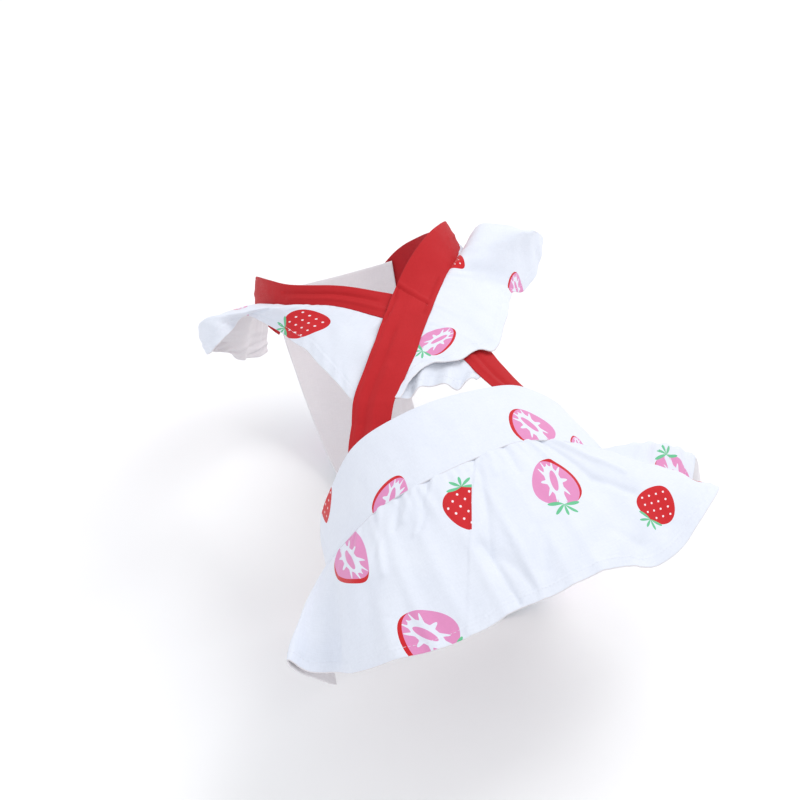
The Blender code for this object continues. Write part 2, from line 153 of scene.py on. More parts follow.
# Hem of the left sleeve ruffle: share of the strap's length, station / BACK_LENGTH, angle,
# lift / BACK_LENGTH, puff half way out / BACK_LENGTH
LEFT_RUFFLE = (
    (0.112, -0.164, 14.0, 0.004, 0.0), (0.145, -0.166, 9.0, 0.004, 0.0),
    (0.175, -0.176, 2.5, 0.004, 0.0), (0.208, -0.146, -4.5, 0.004, 0.0),
    (0.240, -0.149, -11.0, 0.004, 0.0), (0.270, -0.156, -17.0, 0.004, 0.0),
    (0.300, -0.143, -24.0, 0.004, 0.0), (0.327, -0.124, -30.5, 0.004, 0.0),
    (0.350, -0.103, -35.6, 0.005, 0.0), (0.371, -0.060, -36.8, 0.006, 0.0),
    (0.391, 0.000, -38.0, 0.007, 0.0), (0.411, 0.062, -39.2, 0.008, 0.0),
    (0.432, 0.121, -41.2, 0.010, 0.002), (0.457, 0.168, -47.0, 0.014, 0.006),
    (0.486, 0.206, -53.5, 0.020, 0.008), (0.514, 0.230, -60.1, 0.030, 0.010),
    (0.542, 0.246, -64.0, 0.055, 0.014), (0.570, 0.249, -66.9, 0.075, 0.020),
    (0.598, 0.216, -65.3, 0.094, 0.050), (0.624, 0.170, -63.9, 0.118, 0.086),
    (0.650, 0.160, -70.0, 0.122, 0.098), (0.676, 0.196, -85.0, 0.104, 0.072),
    (0.706, 0.214, -96.0, 0.064, 0.030), (0.742, 0.214, -105.0, 0.044, 0.004),
    (0.788, 0.216, -111.0, 0.030, 0.004), (0.842, 0.222, -119.5, 0.032, 0.002),
    (0.900, 0.226, -129.0, 0.016, 0.0), (0.940, 0.232, -134.5, 0.012, 0.0),
)

# Hem of the right sleeve ruffle, in the same columns
RIGHT_RUFFLE = (
    (0.140, -0.160, -20.0, 0.012, 0.0), (0.185, -0.122, -11.5, 0.014, 0.0),
    (0.230, -0.100, -1.5, 0.014, 0.0), (0.275, -0.112, 9.0, 0.016, 0.0),
    (0.320, -0.086, 19.0, 0.016, 0.0), (0.358, -0.090, 26.6, 0.017, 0.0),
    (0.385, -0.042, 32.4, 0.018, 0.0), (0.410, 0.030, 38.0, 0.020, 0.0),
    (0.434, 0.104, 44.5, 0.020, 0.002), (0.456, 0.143, 52.5, 0.026, 0.006),
    (0.476, 0.142, 60.0, 0.042, 0.012), (0.496, 0.150, 64.0, 0.072, 0.020),
    (0.518, 0.162, 67.6, 0.106, 0.030), (0.544, 0.187, 69.5, 0.150, 0.044),
    (0.570, 0.214, 71.5, 0.168, 0.058), (0.600, 0.232, 77.0, 0.140, 0.060),
    (0.636, 0.224, 84.5, 0.098, 0.040), (0.684, 0.218, 92.5, 0.062, 0.020),
    (0.736, 0.218, 100.0, 0.050, 0.008), (0.790, 0.220, 109.0, 0.032, 0.004),
    (0.850, 0.226, 119.5, 0.034, 0.002), (0.908, 0.230, 130.0, 0.016, 0.0),
    (0.940, 0.234, 134.5, 0.012, 0.0),
)

# Chest panel: station / BACK_LENGTH, half width in degrees round the belly
CHEST_PANEL = (
    (-0.290, 34.0), (-0.200, 34.0), (-0.100, 27.0), (0.000, 22.0),
    (0.100, 22.0), (0.200, 27.0), (0.260, 33.0), (0.300, 36.0),
)

# Printed fruit: share along the piece, share across it, turn in degrees, half length in metres
# (below 0 where mirrored), kind, and length for its width
WHOLE, SLICE, TUCKED, BARE = 0.0, 6.0, 12.0, 18.0
PRINTS = {
    "waistband": (
        (0.3866, 0.985, 137.0, 0.0138, BARE, 1.0), (0.5630, 0.670, -165.0, 0.0156, BARE, 1.0),
        (0.6085, 0.969, 167.0, 0.0060, BARE, 1.0), (0.3000, 0.040, -18.0, 0.0130, WHOLE, 1.0),
        (0.2060, 0.700, 60.0, 0.0150, SLICE, 1.0), (0.1250, 0.300, 200.0, 0.0150, WHOLE, 1.0),
        (0.0350, 0.700, -40.0, -0.0150, SLICE, 1.0), (0.9500, 0.250, 100.0, 0.0150, WHOLE, 1.0),
        (0.8650, 0.750, -20.0, 0.0150, SLICE, 1.0), (0.7750, 0.300, 150.0, 0.0150, WHOLE, 1.0),
    ),
    "skirt": (
        (0.4318, 0.339, -13.0, 0.0152, TUCKED, 1.0), (0.2205, 0.250, 36.0, -0.0162, BARE, 1.62),
        (0.3075, 0.835, -141.0, 0.0178, SLICE, 1.0), (0.5750, 0.391, 170.0, -0.0166, SLICE, 1.0),
        (0.6801, 0.699, 97.0, 0.0135, WHOLE, 0.88), (0.8150, 0.785, -45.0, -0.0155, SLICE, 1.0),
        (0.9350, 0.300, 75.0, 0.0150, WHOLE, 1.0),
    ),
    "left_sleeve_ruffle": (
        (0.4340, 0.560, -117.0, 0.0109, WHOLE, 1.50), (0.6595, 0.140, -81.0, 0.0060, BARE, 1.0),
        (0.7900, 0.550, 30.0, 0.0140, SLICE, 1.0), (0.9250, 0.450, 150.0, 0.0140, WHOLE, 1.0),
    ),
    "right_sleeve_ruffle": (
        (0.5200, 0.060, -18.0, 0.0087, WHOLE, 1.0), (0.4530, 0.900, 185.0, 0.0112, BARE, 1.0),
        (0.1850, 0.380, 66.0, -0.0102, SLICE, 1.28), (0.6900, 0.500, 160.0, 0.0145, WHOLE, 1.0),
        (0.8400, 0.500, 40.0, -0.0140, SLICE, 1.0),
    ),
    "chest_panel": (
        (0.1700, 0.300, 20.0, 0.0150, WHOLE, 1.0), (0.3600, 0.680, 130.0, 0.0150, SLICE, 1.0),
        (0.5400, 0.300, -70.0, 0.0150, WHOLE, 1.0), (0.7200, 0.700, 200.0, -0.0150, SLICE, 1.0),
        (0.8900, 0.250, -15.0, 0.0150, WHOLE, 1.0),
    ),
}

# Creases: height, half width, and the line they follow as (share along, share down)
SKIRT_CREASES = (
    (-0.0007, 0.0020, ((0.293, 0.0), (0.290, 0.21), (0.277, 0.34))),
    (0.0010, 0.0024, ((0.301, 0.0), (0.289, 0.19), (0.283, 0.48))),
    (-0.0009, 0.0022, ((0.346, 0.0), (0.319, 0.22))),
    (0.0007, 0.0018, ((0.374, 0.0), (0.338, 0.19))),
    (-0.0008, 0.0020, ((0.400, 0.0), (0.357, 0.30))),
    (0.0006, 0.0016, ((0.412, 0.0), (0.345, 0.32))),
    (-0.0010, 0.0024, ((0.484, 0.0), (0.468, 0.21), (0.452, 0.43), (0.430, 0.65), (0.434, 0.97))),
    (0.0007, 0.0020, ((0.507, 0.0), (0.499, 0.17))),
    (-0.0007, 0.0020, ((0.544, 0.0), (0.533, 0.23))),
    (0.0008, 0.0022, ((0.602, 0.0), (0.602, 0.19))),
    (-0.0011, 0.0030, ((0.642, 0.0), (0.639, 0.21), (0.637, 0.39), (0.668, 0.60))),
    (0.0009, 0.0026, ((0.677, 0.0), (0.678, 0.27), (0.692, 0.46))),
    (-0.0005, 0.0013, ((0.427, 0.58), (0.429, 0.89))),
    (-0.0008, 0.0040, ((0.422, 0.58), (0.456, 0.80), (0.470, 0.98))),
    (-0.0010, 0.0050, ((0.514, 0.62), (0.491, 0.85))),
    (-0.0007, 0.0040, ((0.603, 0.78), (0.626, 0.86))),
    (-0.0014, 0.0080, ((0.256, 0.55), (0.236, 0.90))),
    (-0.0012, 0.0070, ((0.177, 0.55), (0.154, 0.83))),
)
# Line of the skirt's tuck, where the cloth on its right laps over
SKIRT_TUCK = ((0.482, 0.0), (0.437, 0.32), (0.415, 0.51), (0.350, 0.97))


# ---- Forms

def smooth(x, xs, ys):
    """Smooth curve through the points (xs, ys), straight beyond the ends."""
    xs = np.asarray(xs, float)
    ys = np.asarray(ys, float)
    x = np.asarray(x, float)
    h = np.diff(xs)
    rise = np.diff(ys) / h
    t = np.empty_like(ys)
    t[1:-1] = (rise[:-1] * h[1:] + rise[1:] * h[:-1]) / (h[1:] + h[:-1])
    t[0] = rise[0]
    t[-1] = rise[-1]
    i = np.clip(np.searchsorted(xs, x) - 1, 0, len(h) - 1)
    u = np.clip((x - xs[i]) / h[i], -0.5, 1.5)
    a = (2 * u ** 3 - 3 * u ** 2 + 1) * ys[i] + (u ** 3 - 2 * u ** 2 + u) * h[i] * t[i]
    b = (-2 * u ** 3 + 3 * u ** 2) * ys[i + 1] + (u ** 3 - u ** 2) * h[i] * t[i + 1]
    return a + b


def column(rows, which, at, key=0):
    """Column of a table at the places at, measured along the key column."""
    rows = np.asarray(rows, float)
    return smooth(at, rows[:, key], rows[:, which])


def form(s, angle):
    """Point of the guide form: a superellipse about the section's centre, tilted and set at s."""
    share = s / BACK_LENGTH
    centre = column(SECTIONS, 1, share) * HALF_DEPTH
    tilt = np.radians(column(SECTIONS, 2, share))
    a = column(SECTIONS, 3, share) * HALF_WIDTH
    b = column(SECTIONS, 4, share) * HALF_DEPTH
    sn = np.sin(np.radians(angle))
    cs = np.cos(np.radians(angle))
    r = (np.abs(sn / a) ** ROUNDNESS + np.abs(cs / b) ** ROUNDNESS) ** (-1.0 / ROUNDNESS)
    up = r * cs
    return np.stack([r * sn, s - np.sin(tilt) * up, centre + np.cos(tilt) * up], -1)


def unit(v):
    """Vectors at length one."""
    return v / np.maximum(np.linalg.norm(v, axis=-1, keepdims=True), 1e-12)


def tangents(s, angle):
    """Directions along the station and along the angle, and the outward normal."""
    along = (form(s + 0.0005, angle) - form(s - 0.0005, angle)) / 0.001
    around = (form(s, angle + 0.5) - form(s, angle - 0.5))
    return along, around, unit(np.cross(around, along))


def place(s, angle, lift):
    """Point of the form moved outwards by the lift."""
    return form(s, angle) + np.asarray(lift)[..., None] * tangents(s, angle)[2]


def run_of(points):
    """Distance along a line of points from its first one."""
    steps = np.linalg.norm(np.diff(points, axis=0), axis=-1)
    return np.concatenate([np.zeros((1,) + steps.shape[1:]), np.cumsum(steps, axis=0)])


def resample(rows, n):
    """n evenly spaced places along a strap's centre line: station, angle, share, half width."""
    rows = np.asarray(rows, float)
    fine = np.linspace(0, len(rows) - 1, 400)
    index = np.arange(len(rows))
    s = smooth(fine, index, rows[:, 0]) * BACK_LENGTH
    ang = smooth(fine, index, rows[:, 1])
    run = run_of(form(s, ang))
    at = np.linspace(0, run[-1], n)
    half = smooth(fine, index, rows[:, 2]) * STRAP_WIDTH / 2
    return np.interp(at, run, s), np.interp(at, run, ang), at / run[-1], np.interp(at, run, half)


def sideways(s, ang, width):
    """Move places of a centre line by width to its side, on the form."""
    along, around, normal = tangents(s, ang)
    side = np.cross(normal, unit(np.gradient(form(s, ang), axis=0)))
    aa = (along * along).sum(-1)
    ab = (along * around).sum(-1)
    bb = (around * around).sum(-1)
    ea = (along * side).sum(-1)
    eb = (around * side).sum(-1)
    det = aa * bb - ab * ab
    return s + width * (bb * ea - ab * eb) / det, ang + width * (aa * eb - ab * ea) / det


def step(x, low, high):
    """0 below low, 1 above high, and smooth between."""
    u = np.clip((x - low) / (high - low), 0.0, 1.0)
    return u * u * (3 - 2 * u)


def grid_normals(p, ring, passes=1):
    """Normals of a grid of points, evened out by averaging neighbours."""
    if ring:
        du = np.roll(p, -1, axis=0) - np.roll(p, 1, axis=0)
    else:
        du = np.gradient(p, axis=0)
    n = unit(np.cross(du, np.gradient(p, axis=1)))
    for _ in range(passes):
        wide = n.copy()
        if ring:
            wide += 0.5 * (np.roll(n, -1, axis=0) + np.roll(n, 1, axis=0))
        else:
            wide[1:-1] += 0.5 * (n[2:] + n[:-2])
        n = wide.copy()
        n[:, 1:-1] += 0.5 * (wide[:, 2:] + wide[:, :-2])
        n = unit(n)
    return n


def ripples(x, y, seed, count, wave, high):
    """Soft crumple: a sum of sine waves of random direction and phase, wave metres long."""
    rng = np.random.default_rng(seed)
    total = np.zeros(np.broadcast(x, y).shape)
    for _ in range(count):
        turn = rng.uniform(0, np.pi)
        k = 2 * np.pi / (wave * rng.uniform(0.6, 1.7))
        total += np.sin(k * (x * np.cos(turn) + y * np.sin(turn)) + rng.uniform(0, 2 * np.pi))
    return high * total / np.sqrt(count)


def gathers(x, y, seed, length, pitch, high, fade, spread, lean=0.0):
    """Gathers: soft ridges that start at the seam (y = 0), widen and fade as they run down.

    Each ridge is a bell curve across x; its place, width, height and length are its own."""
    rng = np.random.default_rng(seed)
    count = int(length / pitch)
    total = np.zeros(np.broadcast(x, y).shape)
    for k in range(count):
        at = (k + rng.uniform(0.15, 0.85)) * length / count
        wide = pitch * rng.uniform(0.28, 0.5) * (1 + y / (spread * rng.uniform(0.7, 1.6)))
        tall = high * rng.uniform(0.35, 1.0)
        reach = fade * rng.uniform(0.25, 1.0) ** 1.5 * 1.6
        drift = (lean + rng.normal(0, 0.06)) * y
        total += tall * np.exp(-((x - at - drift) / wide) ** 2) * np.exp(-(y / reach) ** 1.5)
    return total * (1 - np.exp(-y / 0.0022))


def creases(u, v, long, wide, rows):
    """Creases: bell curves of the distance to each one's line, in metres.

    u and v are shares along and across; long and wide are the real sizes they stand for."""
    total = np.zeros(np.broadcast(u, v).shape)
    for high, half, line in rows:
        away = np.full(total.shape, 1.0)
        for (ua, va), (ub, vb) in zip(line[:-1], line[1:]):
            du, dv = (ub - ua) * long, (vb - va) * wide
            eu, ev = (u - ua) * long, (v - va) * wide
            w = np.clip((eu * du + ev * dv) / (du * du + dv * dv), 0.0, 1.0)
            away = np.minimum(away, np.hypot(eu - w * du, ev - w * dv))
        total += high * np.exp(-(away / half) ** 2)
    return total


# ---- Meshes

def quads(nu, nv, ring):
    """Corner numbers of the quads of a grid; ring closes the first direction."""
    i = np.arange(nu if ring else nu - 1)[:, None]
    j = np.arange(nv - 1)[None, :]
    k = (i + 1) % nu
    return np.stack([i * nv + j, k * nv + j, k * nv + j + 1, i * nv + j + 1], -1).reshape(-1, 4)


def edge_loops(nu, nv, ring):
    """Grid points round the free edges, as closed loops that run with the face's corners."""
    i = np.arange(nu)
    if ring:
        return [(i * nv)[::-1], i * nv + nv - 1]
    j = np.arange(nv)
    return [np.concatenate([i[:-1] * nv, (nu - 1) * nv + j[:-1],
                            i[:0:-1] * nv + nv - 1, j[:0:-1]])[::-1]]


def new_piece(name, verts, faces, materials, slots, maps):
    """Mesh object from arrays, with its materials and its UV maps."""
    mesh = bpy.data.meshes.new(name)
    mesh.from_pydata(verts.tolist(), [], faces.tolist())
    for key, corners in maps.items():
        layer = mesh.uv_layers.new(name=key)
        layer.data.foreach_set("uv", corners.astype(np.float32).ravel())
    for material in materials:
        mesh.materials.append(material)
    mesh.polygons.foreach_set("material_index", slots.astype(np.int32))
    mesh.polygons.foreach_set("use_smooth", np.ones(len(faces), bool))
    mesh.update()
    piece = bpy.data.objects.new(name, mesh)
    bpy.context.scene.collection.objects.link(piece)
    return piece


def print_corners(outer, faces, shape, ring, prints):
    """UV of the print at each face corner: place within the nearest fruit, in half lengths.

    Each fruit lies flat on the cloth about its centre; where there is none, UV is (-20, -20)."""
    nu, nv = shape
    corner = np.full((len(faces), 4, 2), -20.0)
    grid = outer.reshape(nu, nv, 3)
    normal = grid_normals(grid, ring, 4)
    nearest = np.full(len(faces), 1.0)
    for along, across, turn, half, kind, tall in prints:
        i = int(round(along * (nu - 1)))
        j = int(round(across * (nv - 1)))
        n = normal[i, j]
        right = unit(grid[(i + 2) % nu, j] - grid[i - 2, j])
        right = unit(right - n * (right @ n))
        down = np.cross(right, n)
        if (grid[i, min(j + 2, nv - 1)] - grid[i, max(j - 2, 0)]) @ down < 0:
            down = -down
        c, s = np.cos(np.radians(turn)), np.sin(np.radians(turn))
        away = outer - grid[i, j]
        px = (away @ right) / abs(half)
        py = -(away @ down) / abs(half)
        local = np.stack([(c * px + s * py) * np.sign(half), (c * py - s * px) / tall], -1)
        here = (np.abs(local) < 1.75).all(-1) & (np.abs(away @ n) < 0.022)
        far = np.linalg.norm(away, axis=-1)[faces[:, 0]]
        hit = here[faces].all(-1) & (far < nearest)
        nearest[hit] = far[hit]
        corner[hit] = local[faces[hit]] + np.array([kind, 0.0])
    return corner


def cloth(name, mid, up, down, materials, ring=False, prints=(), outward=None):
    """Closed cloth about a grid of points: face and back offset by up and down, edges rounded.

    outward is the outward direction at the first column, which tells the face from the back."""
    nu, nv = mid.shape[:2]
    normal = grid_normals(mid, ring, 1)
    faces = quads(nu, nv, ring)
    loops = edge_loops(nu, nv, ring)
    if (normal[:, 0] * outward).sum() < 0:
        normal = -normal
        faces = faces[:, ::-1]
        loops = [q[::-1] for q in loops]
    up = np.broadcast_to(up, (nu, nv))[..., None]
    down = np.broadcast_to(down, (nu, nv))[..., None]
    outer = (mid + up * normal).reshape(-1, 3)
    inner = (mid - down * normal).reshape(-1, 3)
    flat = mid.reshape(-1, 3)
    half = nu * nv
    verts = [outer, inner]
    all_faces = [faces, half + faces[:, ::-1]]
    if ring:
        du = np.zeros_like(mid)
    else:
        du = np.zeros_like(mid)
        du[0] = unit(mid[0] - mid[1])
        du[-1] = unit(mid[-1] - mid[-2])
    dv = np.zeros_like(mid)
    dv[:, 0] = unit(mid[:, 0] - mid[:, 1])
    dv[:, -1] = unit(mid[:, -1] - mid[:, -2])
    out = (du + dv).reshape(-1, 3)
    thick = (up + down).reshape(-1, 1)
    start = 2 * half
    for loop in loops:
        nxt = np.roll(loop, -1)
        count = len(loop)
        rim = start + np.arange(count)
        rim_next = np.roll(rim, -1)
        verts.append((outer[loop] + inner[loop]) / 2 + 0.4 * thick[loop] * out[loop])
        all_faces.append(np.stack([nxt, loop, rim, rim_next], -1)[:, ::-1])
        all_faces.append(np.stack([rim_next, rim, half + loop, half + nxt], -1)[:, ::-1])
        start += count
    verts = np.concatenate(verts)
    faces_all = np.concatenate(all_faces)
    slots = np.ones(len(faces_all), int)
    slots[:len(faces)] = 0
    # Cloth UV in metres: the run along the middle row, and the run across each column
    along = run_of(mid[:, nv // 2])
    across = run_of(np.swapaxes(mid, 0, 1)).T
    uv = np.stack([np.broadcast_to(along[:, None], (nu, nv)), across], -1).reshape(-1, 2)
    uv = np.concatenate([uv, uv] + [uv[q] for q in loops])
    corner = uv[faces_all]
    if ring:
        wrap = along[-1] + np.linalg.norm(mid[0, nv // 2] - mid[-1, nv // 2])
        seam = corner[..., 0].max(1) - corner[..., 0].min(1) > wrap / 2
        low = corner[..., 0] < wrap / 2
        corner[..., 0] += wrap * (low & seam[:, None])
    printed = np.full((len(faces_all), 4, 2), -20.0)
    if len(prints):
        printed[:len(faces)] = print_corners(outer, faces, (nu, nv), ring, prints)
    piece = new_piece(name, verts, faces_all, materials, slots, {"cloth": corner, "print": printed})
    return piece, (mid + up * normal), normal


def stitches(name, line, normal, pitch, material, length=0.0019, radius=0.00012, closed=False):
    """Row of thread stitches: short beads along a line of points, bedded in the cloth.

    Each bead is four rings of four points about its axis, thinnest at the ends."""
    if closed:
        line = np.concatenate([line, line[:1]])
        normal = np.concatenate([normal, normal[:1]])
    run = run_of(line)
    count = max(int(run[-1] / pitch), 2)
    at = (np.arange(count) + 0.5) * run[-1] / count
    centre = np.stack([np.interp(at, run, line[:, k]) for k in range(3)], -1)
    ahead = np.stack([np.interp(at + 0.0004, run, line[:, k]) for k in range(3)], -1)
    behind = np.stack([np.interp(at - 0.0004, run, line[:, k]) for k in range(3)], -1)
    n = unit(np.stack([np.interp(at, run, normal[:, k]) for k in range(3)], -1))
    e = unit(ahead - behind)
    n = unit(n - e * (n * e).sum(-1, keepdims=True))
    f = np.cross(n, e)
    x = np.array((-1.0, -0.55, 0.55, 1.0)) * length / 2
    r = np.array((0.35, 1.0, 1.0, 0.35)) * radius
    rise = np.array((-0.6, 0.55, 0.55, -0.6)) * radius
    turn = np.radians((45.0, 135.0, 225.0, 315.0))
    verts = (centre[:, None, None] + x[None, :, None, None] * e[:, None, None]
             + (rise[:, None] + r[:, None] * np.sin(turn))[None, ..., None] * n[:, None, None]
             + (r[:, None] * np.cos(turn))[None, ..., None] * f[:, None, None])
    ring = np.arange(3)[:, None] * 4
    q = np.arange(4)[None, :]
    side = np.stack([ring + q, ring + (q + 1) % 4, ring + 4 + (q + 1) % 4, ring + 4 + q], -1)
    bead = np.concatenate([side.reshape(-1, 4)[:, ::-1], [[0, 1, 2, 3]], [[15, 14, 13, 12]]])
    faces = (np.arange(count)[:, None, None] * 16 + bead[None]).reshape(-1, 4)
    slots = np.zeros(len(faces), int)
    return new_piece(name, verts.reshape(-1, 3), faces, [material], slots, {})


def hem_line(points, normals, inset, last=True):
    """Line at a distance inset from the last (or first) column of a grid, and its normals."""
    if not last:
        points, normals = points[:, ::-1], normals[:, ::-1]
    back = run_of(np.swapaxes(points[:, ::-1], 0, 1)).T
    j = np.clip((back < inset).sum(1), 1, points.shape[1] - 1)
    rows = np.arange(len(points))
    a, b = back[rows, j - 1], back[rows, j]
    w = ((inset - a) / np.maximum(b - a, 1e-9))[:, None]
    turned, turned_n = points[:, ::-1], normals[:, ::-1]
    return (turned[rows, j - 1] * (1 - w) + turned[rows, j] * w,
            unit(turned_n[rows, j - 1] * (1 - w) + turned_n[rows, j] * w))


# ---- Materials

def linear(code):
    """sRGB hex code as a linear colour."""
    c = np.array([int(code[k:k + 2], 16) for k in (1, 3, 5)]) / 255.0
    c = np.where(c <= 0.04045, c / 12.92, ((c + 0.055) / 1.055) ** 2.4)
    return (*c.tolist(), 1.0)


def add(tree, kind, links=(), out=0, **settings):
    """Add a node with its settings, link or set its inputs, and give back one of its outputs."""
    node = tree.nodes.new("ShaderNode" + kind)
    for key, value in settings.items():
        setattr(node, key, value)
    for key, value in dict(links).items():
        if isinstance(value, bpy.types.NodeSocket):
            tree.links.new(value, node.inputs[key])
        else:
            node.inputs[key].default_value = value
    return node.outputs[out]


def fruit_colour(t, base):
    """Colour of the printed cloth: whole and cut strawberries drawn from the print UV.

    A berry is an egg: (x / (0.82 + 0.24 y))^2 + y^2 < 1, with its leaves at y = 1.  Leaves are
    a rose curve about (0, 0.98).  Seeds lie on a staggered lattice.  A cut berry has a thin red
    skin at one side, and a white star-edged core with a pink heart.  A tucked berry ends at the
    line x = 0.16 + 0.23 y, where the next fold of cloth laps over it."""
    def calc(op, a, b=0.0, c=0.0):
        return add(t, "Math", {0: a, 1: b, 2: c}, operation=op)

    def paint(below, mask, code):
        return add(t, "Mix", {"Factor": mask, 6: below, 7: linear(code)}, out=2, data_type="RGBA")

    def egg(x, y):
        return calc("ADD", calc("POWER", calc("DIVIDE", x, calc("MULTIPLY_ADD", y, 0.24, 0.82)), 2.0),
                    calc("POWER", y, 2.0))

    uv = add(t, "UVMap", uv_map="print")
    split = add(t, "SeparateXYZ", {0: uv}).node
    is_half = calc("COMPARE", split.outputs[0], SLICE, 3.0)
    is_tucked = calc("COMPARE", split.outputs[0], TUCKED, 3.0)
    is_bare = calc("COMPARE", split.outputs[0], BARE, 3.0)
    offset = calc("MULTIPLY_ADD", is_tucked, TUCKED, calc("MULTIPLY", is_half, SLICE))
    x = calc("SUBTRACT", split.outputs[0], calc("MULTIPLY_ADD", is_bare, BARE, offset))
    is_half = calc("ADD", is_half, is_bare)
    y = split.outputs[1]
    lapped = calc("MULTIPLY", is_tucked,
                  calc("GREATER_THAN", calc("MULTIPLY_ADD", y, -0.23, x), 0.16))
    shown = calc("SUBTRACT", 1.0, lapped)
    inside = calc("MULTIPLY", shown, calc("LESS_THAN", egg(x, y), 1.0))
    deep = calc("LESS_THAN", egg(calc("MULTIPLY", x, 1.12), calc("MULTIPLY", y, 1.12)), 1.0)
    # Seeds of the whole berry
    row = calc("FLOOR", calc("DIVIDE", y, 0.28))
    odd = calc("FRACT", calc("MULTIPLY", row, 0.5))
    cx = calc("SUBTRACT", calc("FRACT", calc("ADD", calc("DIVIDE", x, 0.45), odd)), 0.5)
    cy = calc("SUBTRACT", calc("FRACT", calc("DIVIDE", y, 0.28)), 0.5)
    seed = calc("LESS_THAN", calc("ADD", calc("POWER", calc("MULTIPLY", cx, 0.45 / 0.042), 2.0),
                                  calc("POWER", calc("MULTIPLY", cy, 0.28 / 0.056), 2.0)), 1.0)
    seed = calc("MULTIPLY", seed, deep)
    # Leaves and stem
    ly = calc("SUBTRACT", y, 0.98)
    lean = calc("ARCTAN2", x, ly)
    far = calc("SQRT", calc("ADD", calc("POWER", x, 2.0), calc("POWER", ly, 2.0)))
    petal = calc("POWER", calc("MULTIPLY_ADD", calc("COSINE", calc("MULTIPLY", lean, 7.4)), 0.5, 0.5),
                 0.9)
    reach = calc("MULTIPLY", petal, calc("MULTIPLY_ADD", calc("ABSOLUTE", lean), 0.07, 0.46))
    leaf = calc("LESS_THAN", far, reach)
    leaf = calc("MULTIPLY", leaf, calc("LESS_THAN", calc("ABSOLUTE", lean), 2.05))
    leaf = calc("MULTIPLY", leaf, calc("SUBTRACT", shown, is_bare))
    # Cut berry: skin, star core and heart
    skin = calc("GREATER_THAN", egg(calc("ADD", x, 0.12), calc("ADD", y, -0.08)), 1.02)
    hx = calc("DIVIDE", calc("ADD", x, 0.03), 0.27)
    hy = calc("DIVIDE", y, 0.72)
    spoke = calc("ARCTAN2", hx, hy)
    core_far = calc("SQRT", calc("ADD", calc("POWER", hx, 2.0), calc("POWER", hy, 2.0)))
    star = calc("POWER", calc("MULTIPLY_ADD", calc("COSINE", calc("MULTIPLY", spoke, 12.0)), 0.5, 0.5),
                4.0)
    star = calc("MULTIPLY", star, calc("MULTIPLY_ADD", calc("ABSOLUTE", calc("SINE", spoke)), 0.62, 0.12))
    core = calc("LESS_THAN", core_far, calc("ADD", star, 1.0))
    neck = calc("MULTIPLY", calc("LESS_THAN", calc("ABSOLUTE", calc("ADD", x, 0.02)), 0.15),
                calc("GREATER_THAN", y, 0.4))
    core = calc("MAXIMUM", core, neck)
    tilt = calc("MULTIPLY_ADD", y, 0.12, calc("ADD", x, 0.02))
    heart = calc("LESS_THAN", calc("ADD", calc("POWER", calc("DIVIDE", tilt, 0.125), 2.0),
                                   calc("POWER", calc("DIVIDE", calc("ADD", y, 0.04), 0.46), 2.0)),
                 1.0)
    half_mask = calc("MULTIPLY", inside, is_half)
    whole_mask = calc("MULTIPLY", inside, calc("SUBTRACT", 1.0, is_half))
    colour = paint(base, whole_mask, BERRY_RED)
    colour = paint(colour, calc("MULTIPLY", whole_mask, seed), "#F6E9EC")
    colour = paint(colour, half_mask, SLICE_PINK)
    colour = add(t, "Mix", {"Factor": calc("MULTIPLY", half_mask, core), 6: colour, 7: base},
                 out=2, data_type="RGBA")
    colour = paint(colour, calc("MULTIPLY", half_mask, heart), SLICE_PINK)
    colour = paint(colour, calc("MULTIPLY", half_mask, skin), BERRY_RED)
    return paint(colour, leaf, LEAF_GREEN)


BERRY_RED = "#CC2229"
SLICE_PINK = "#E08FBE"
LEAF_GREEN = "#6CC493"


